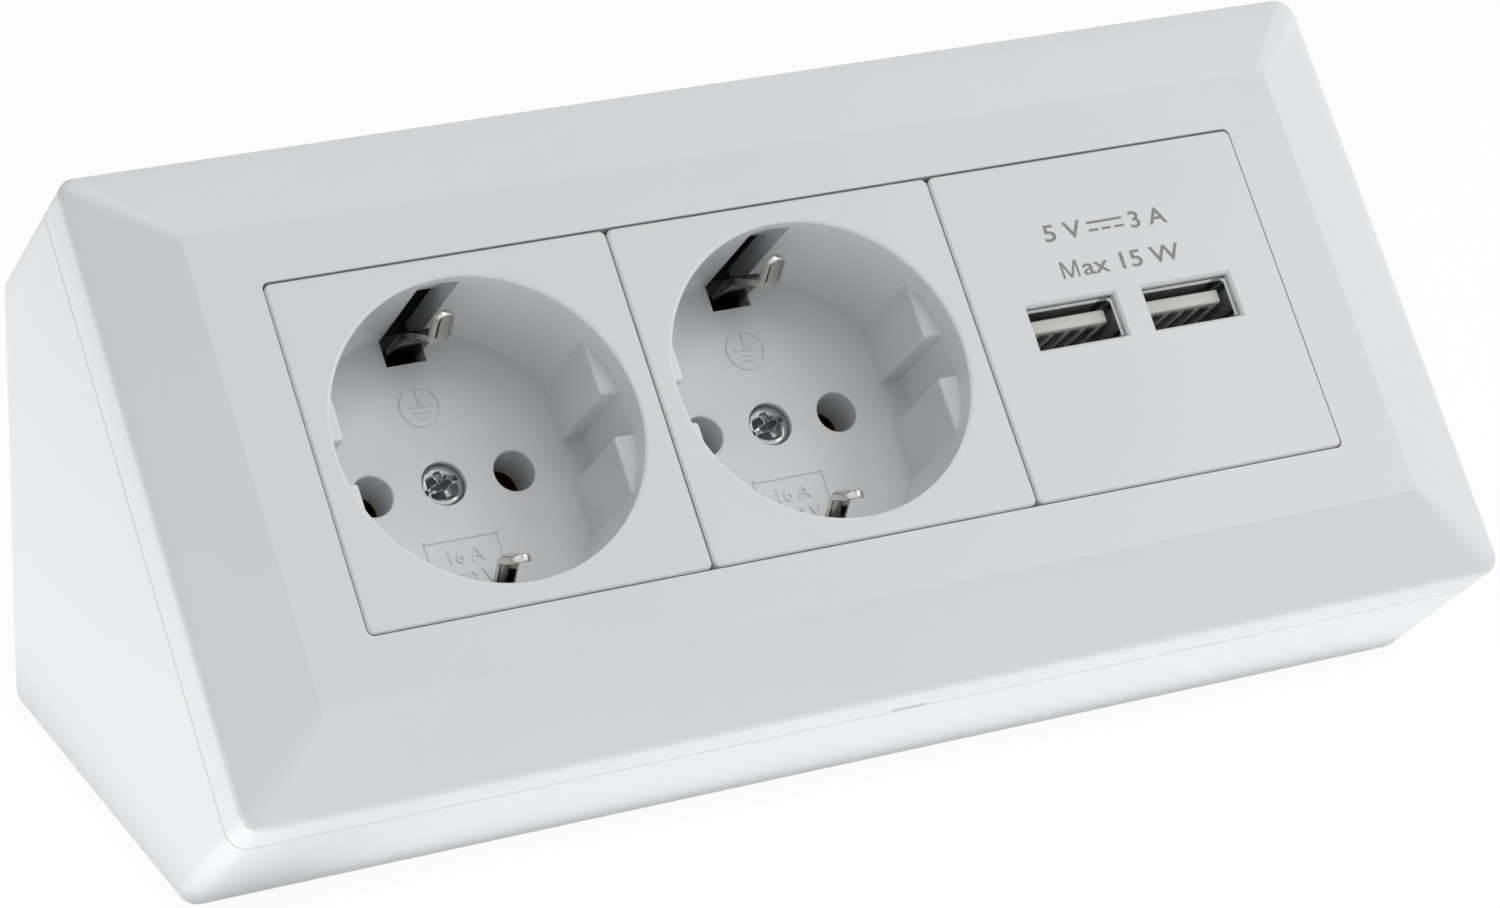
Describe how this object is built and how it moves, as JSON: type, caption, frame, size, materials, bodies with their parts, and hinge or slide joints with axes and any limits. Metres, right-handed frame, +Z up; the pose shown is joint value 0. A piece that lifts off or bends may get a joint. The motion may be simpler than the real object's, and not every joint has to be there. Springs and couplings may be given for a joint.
{
  "type": "corner power socket",
  "caption": "Wedge-shaped corner housing with a bevelled sloping front holding earthed round-recess sockets and a twin USB charger insert.",
  "frame": {"origin": "middle of the bounding box on the bottom face", "axes": "+X along the row of inserts to the charger, +Y to the wall, +Z up; the front faces -Y and +Z"},
  "size_m": [0.174, 0.079, 0.079],
  "materials": {
    "housing_white": "moulded white plastic, satin gloss",
    "insert_white": "moulded white plastic, satin gloss",
    "inner_plastic": "moulded grey plastic",
    "zinc_screw": "zinc plated",
    "nickel_strap": "nickel plated",
    "contact_brass": "plain",
    "spring_steel": "plain",
    "port_steel": "nickel plated",
    "tongue_plastic": "moulded white plastic",
    "port_contact": "flash gold plated",
    "board": "solder-masked laminate",
    "ferrite": "sintered ferrite with taped winding",
    "capacitor_can": "sleeved can",
    "terminal_plastic": "moulded plastic",
    "line_wire": "insulated wire",
    "neutral_wire": "insulated wire",
    "earth_wire": "insulated wire"
  },
  "bodies": {
    "root": {"base_housing": "housing_white", "front_frame": "housing_white", "carrier_frame": "inner_plastic", "carrier_screws": "zinc_screw", "line_link": "line_wire", "neutral_link": "neutral_wire", "earth_link": "earth_wire", "usb_line_lead": "line_wire", "usb_neutral_lead": "neutral_wire", "socket_cover_left": "insert_white", "cover_screw_left": "zinc_screw", "earth_strap_left": "nickel_strap", "earth_terminal_left": "contact_brass", "contact_block_left": "inner_plastic", "line_contact_left": "contact_brass", "neutral_contact_left": "contact_brass", "terminal_springs_left": "spring_steel", "socket_cover_middle": "insert_white", "cover_screw_middle": "zinc_screw", "earth_strap_middle": "nickel_strap", "earth_terminal_middle": "contact_brass", "contact_block_middle": "inner_plastic", "line_contact_middle": "contact_brass", "neutral_contact_middle": "contact_brass", "terminal_springs_middle": "spring_steel", "usb_cover": "insert_white", "usb_case": "inner_plastic", "circuit_board": "board", "transformer": "ferrite", "input_capacitor": "capacitor_can", "output_capacitor": "capacitor_can", "supply_terminal": "terminal_plastic", "supply_springs": "spring_steel", "usb_shell_left": "port_steel", "usb_tongue_left": "tongue_plastic", "usb_contacts_left": "port_contact", "usb_shell_right": "port_steel", "usb_tongue_right": "tongue_plastic", "usb_contacts_right": "port_contact"}
  },
  "joints": []
}
